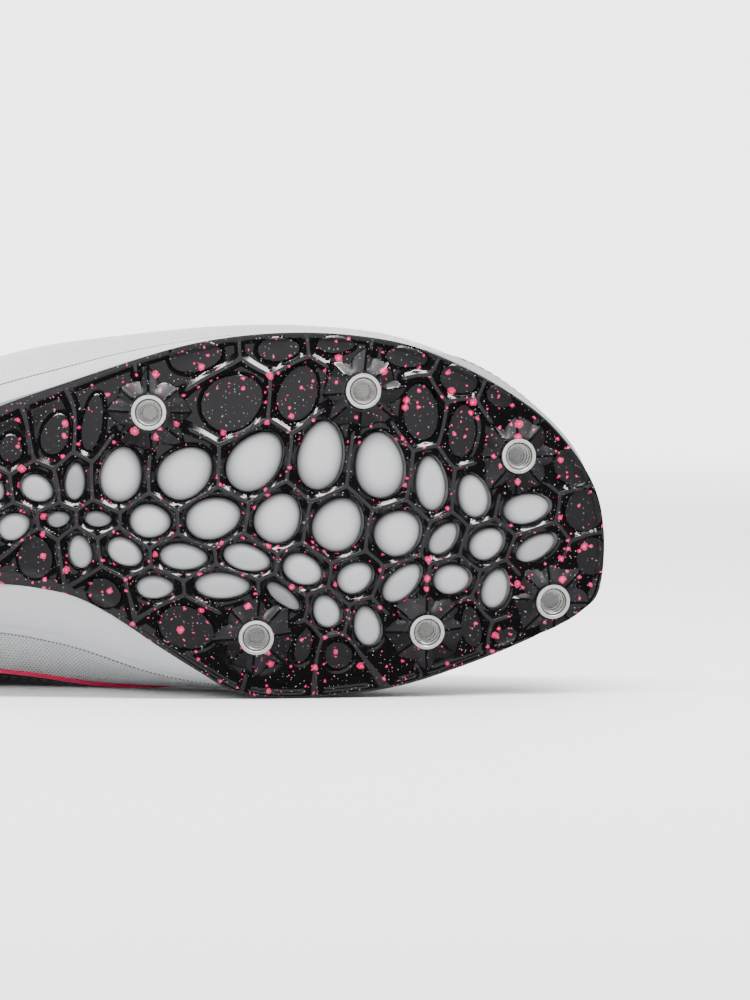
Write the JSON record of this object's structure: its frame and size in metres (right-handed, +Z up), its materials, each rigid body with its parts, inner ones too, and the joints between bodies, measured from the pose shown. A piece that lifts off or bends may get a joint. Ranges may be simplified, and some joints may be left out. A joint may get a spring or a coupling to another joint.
{
  "type": "track spike shoe",
  "caption": "Right running spike lying on its inner side, with a black honeycombed forefoot plate, empty threaded spike sockets, grey foam midsole and knitted lace-up upper.",
  "frame": {"origin": "middle of the bounding box, at the floor that the shoe lies on", "axes": "+X from heel to toe, -Y out of the sole, +Z up, from the inner to the outer edge of the shoe"},
  "size_m": [0.276, 0.0934, 0.0963],
  "materials": {
    "plate": "glossy black with pink and grey flecks",
    "foam": "matt light grey foam, fine grain",
    "knit": "engineered knit with black side panels edged in pink",
    "tongue": "soft knit",
    "lining": "fine brushed textile",
    "socket": "turned steel, threaded bore",
    "lace": "flat woven lace"
  },
  "bodies": {
    "root": {"spike_plate": "plate", "midsole": "foam", "upper": "knit", "tongue": "tongue", "insole": "lining", "spike_socket_1": "socket", "spike_socket_2": "socket", "spike_socket_3": "socket", "spike_socket_4": "socket", "spike_socket_5": "socket", "spike_socket_6": "socket", "lace_bar_1": "lace", "lace_bar_2": "lace", "lace_bar_3": "lace", "lace_bar_4": "lace", "lace_bar_5": "lace", "lace_bar_6": "lace"}
  },
  "joints": []
}
